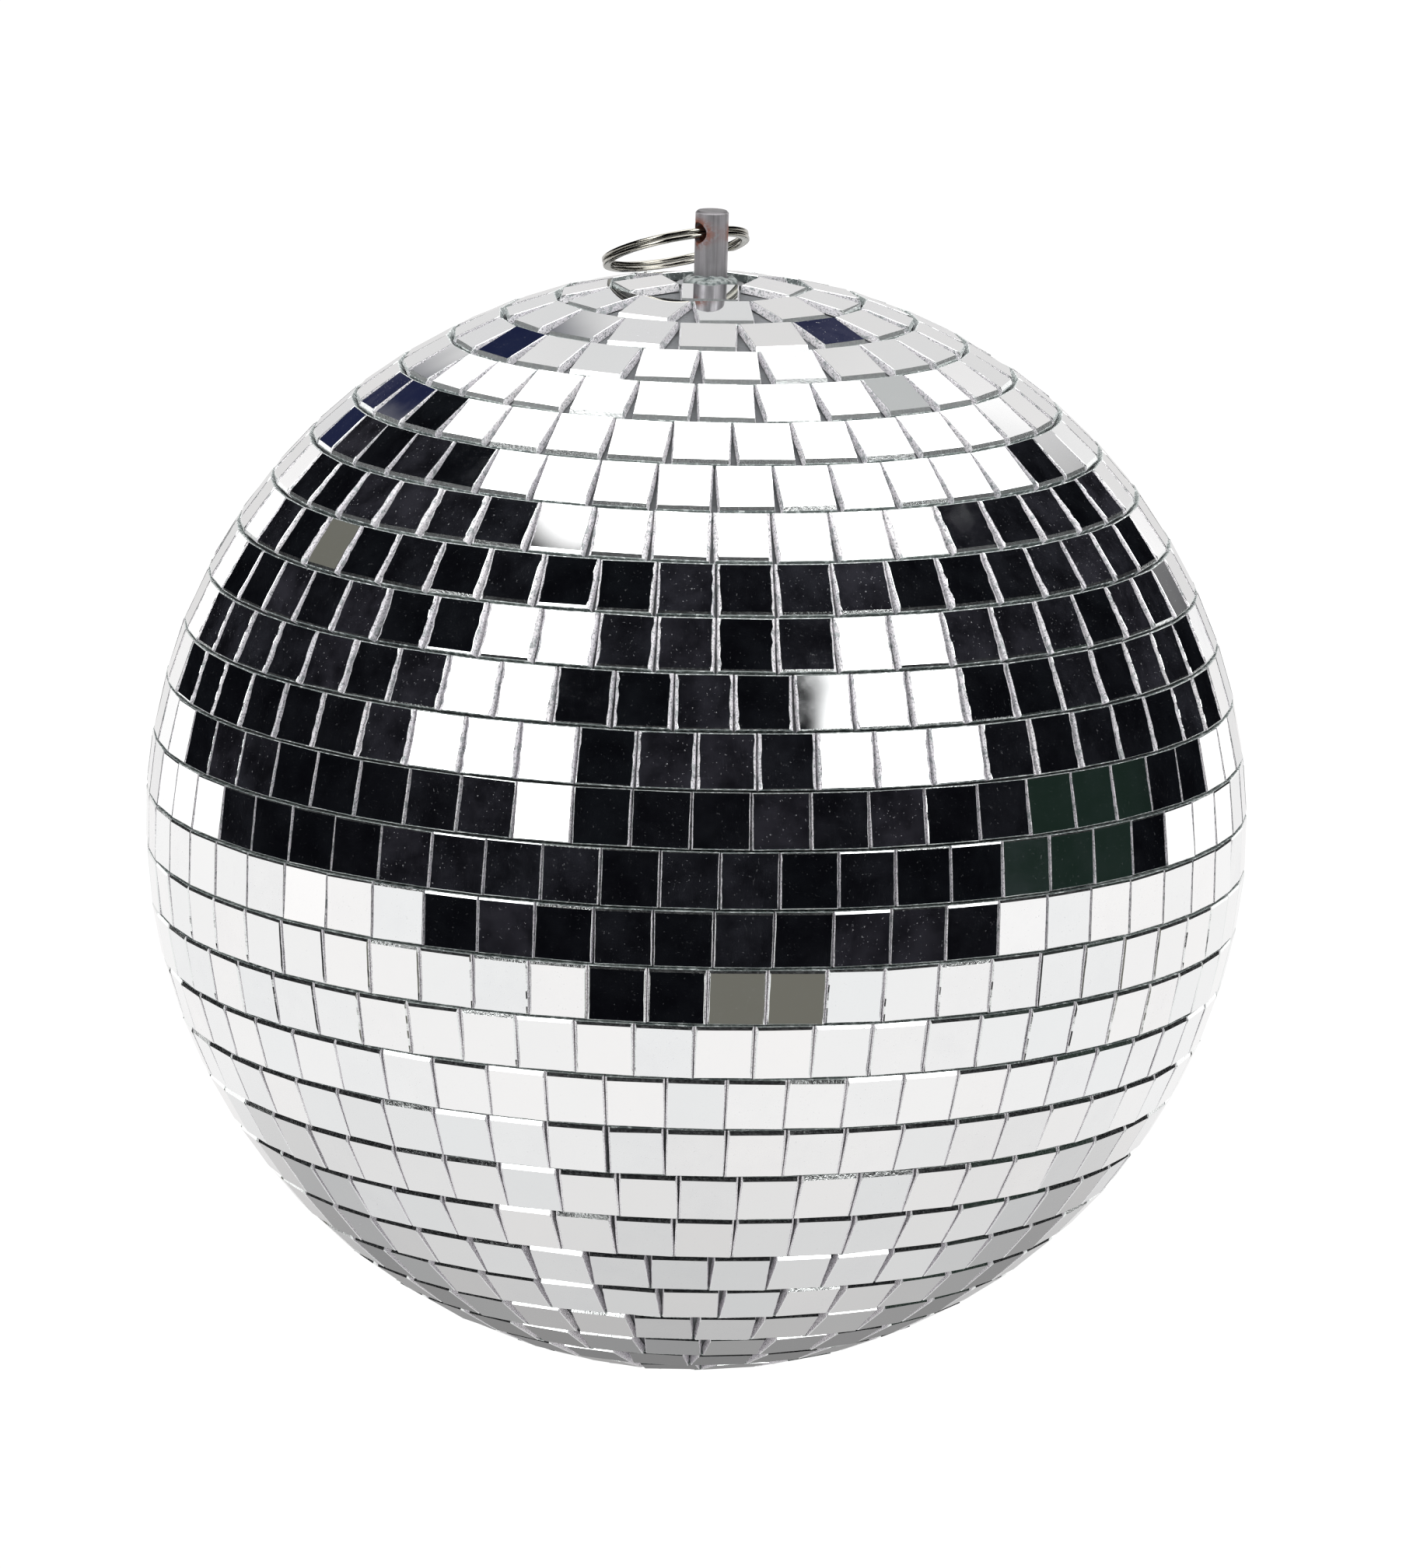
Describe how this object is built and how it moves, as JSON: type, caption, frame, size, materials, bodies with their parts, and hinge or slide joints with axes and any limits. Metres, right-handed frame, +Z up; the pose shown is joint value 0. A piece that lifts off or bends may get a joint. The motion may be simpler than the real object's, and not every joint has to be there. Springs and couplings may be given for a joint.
{
  "type": "mirror ball",
  "caption": "Small mirror ball: square mirror facets in rows over a hollow plastic core, hung from a steel pin with a split ring",
  "frame": {"origin": "centre of the hanger pin's tip, the point that the ball hangs by; the ball's centre is 111.9 mm below it", "axes": "+Z is up along the hanger pin; +X and +Y are level, and the cross hole runs 33 degrees from +X towards +Y"},
  "size_m": [0.2, 0.2, 0.2118],
  "materials": {
    "mirror_glass": "square facets of silvered float glass with cut edges",
    "backing_fabric": "dark grey woven backing cloth with adhesive",
    "core_plastic": "moulded, as it left the mould",
    "pin_steel": "turned and left bare, with a little rust at the cross hole",
    "zinc_plate": "bright zinc plate",
    "clear_adhesive": "clear glue, set in a bead",
    "nickel_plate": "bright nickel plate on spring wire"
  },
  "bodies": {
    "ball": {"upper_core_shell": "core_plastic", "lower_core_shell": "core_plastic", "hanger_pin": "pin_steel", "outer_washer": "zinc_plate", "pin_adhesive": "clear_adhesive", "inner_washer": "zinc_plate", "lock_washer": "zinc_plate", "hex_nut": "zinc_plate", "bottom_mirror": "mirror_glass", "mirror_row_01": "mirror_glass", "mirror_row_02": "mirror_glass", "mirror_row_03": "mirror_glass", "mirror_row_04": "mirror_glass", "mirror_row_05": "mirror_glass", "mirror_row_06": "mirror_glass", "mirror_row_07": "mirror_glass", "mirror_row_08": "mirror_glass", "mirror_row_09": "mirror_glass", "mirror_row_10": "mirror_glass", "mirror_row_11": "mirror_glass", "mirror_row_12": "mirror_glass", "mirror_row_13": "mirror_glass", "mirror_row_14": "mirror_glass", "mirror_row_15": "mirror_glass", "mirror_row_16": "mirror_glass", "mirror_row_17": "mirror_glass", "mirror_row_18": "mirror_glass", "mirror_row_19": "mirror_glass", "mirror_row_20": "mirror_glass", "mirror_row_21": "mirror_glass", "mirror_row_22": "mirror_glass", "mirror_row_23": "mirror_glass", "mirror_row_24": "mirror_glass", "mirror_row_25": "mirror_glass", "mirror_row_26": "mirror_glass", "mirror_row_27": "mirror_glass", "mirror_row_28": "mirror_glass", "mirror_row_29": "mirror_glass", "upper_backing_strips": "backing_fabric", "equator_backing_strip": "backing_fabric", "lower_backing_strips": "backing_fabric", "bottom_backing_patch": "backing_fabric"},
    "ring": {"split_ring": "nickel_plate"}
  },
  "joints": [
    {"name": "ring_swing", "type": "hinge", "parent": "ball", "child": "ring", "pos_m": [0, 0, -0.0039], "axis": [0.8387, 0.5446, 0], "range_deg": [0, 224.8]}
  ]
}
